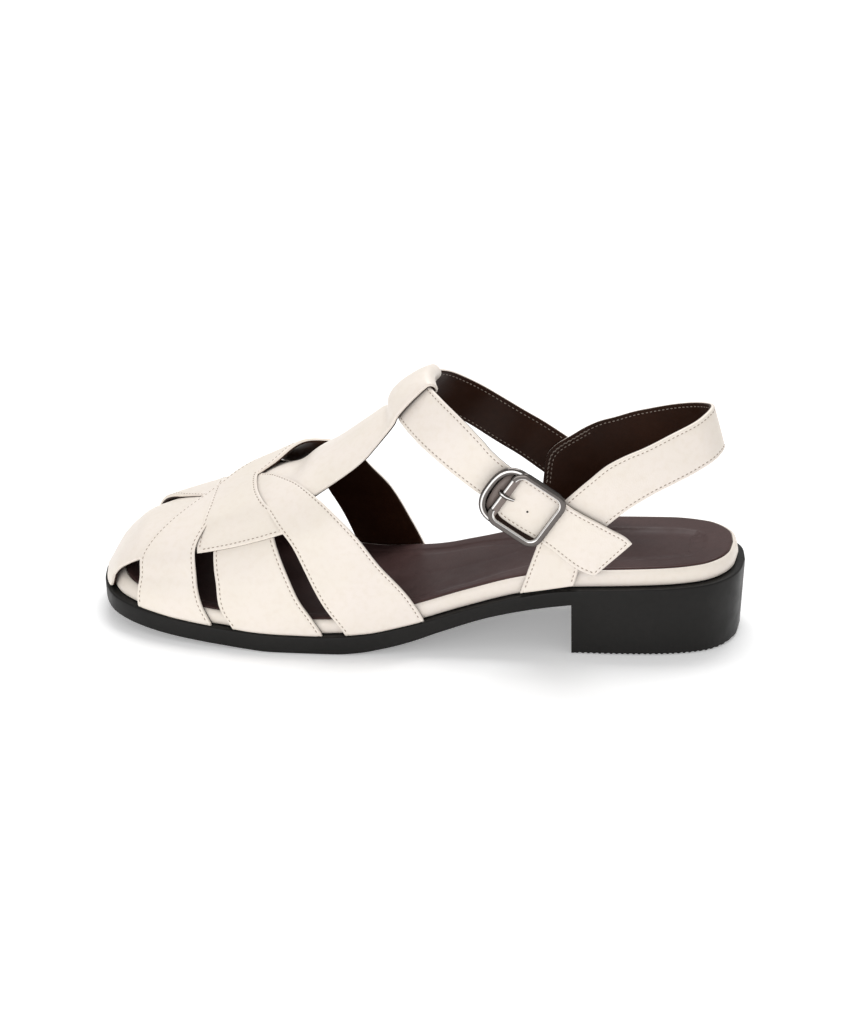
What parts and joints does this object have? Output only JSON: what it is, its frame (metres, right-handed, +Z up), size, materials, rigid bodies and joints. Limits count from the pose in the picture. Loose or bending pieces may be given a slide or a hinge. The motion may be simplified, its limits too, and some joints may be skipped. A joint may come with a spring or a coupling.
{
  "type": "fisherman sandal",
  "caption": "Left fisherman sandal: crossed vamp bands under a T-bar, open back strap, buckled ankle strap and a rubber sole with a low block heel.",
  "frame": {"origin": "centre of the bounding box's footprint, on the floor the shoe stands on", "axes": "+X from the heel to the toe, +Y to the outer side with the buckle, +Z up"},
  "size_m": [0.254, 0.0866, 0.1048],
  "materials": {
    "outsole": "satin black moulded rubber",
    "footbed": "cream leather wrap",
    "insole": "dark brown satin sock",
    "upper": "smooth cream leather",
    "heel_strap": "smooth cream leather",
    "ankle_strap": "smooth cream leather",
    "buckle_strap": "smooth cream leather",
    "buckle_frame": "polished gunmetal",
    "buckle_prong": "polished gunmetal"
  },
  "bodies": {
    "root": {"outsole": "outsole", "footbed": "footbed", "insole": "insole", "upper": "upper", "heel_strap": "heel_strap", "ankle_strap": "ankle_strap", "buckle_strap": "buckle_strap", "buckle_frame": "buckle_frame", "buckle_prong": "buckle_prong"}
  },
  "joints": []
}
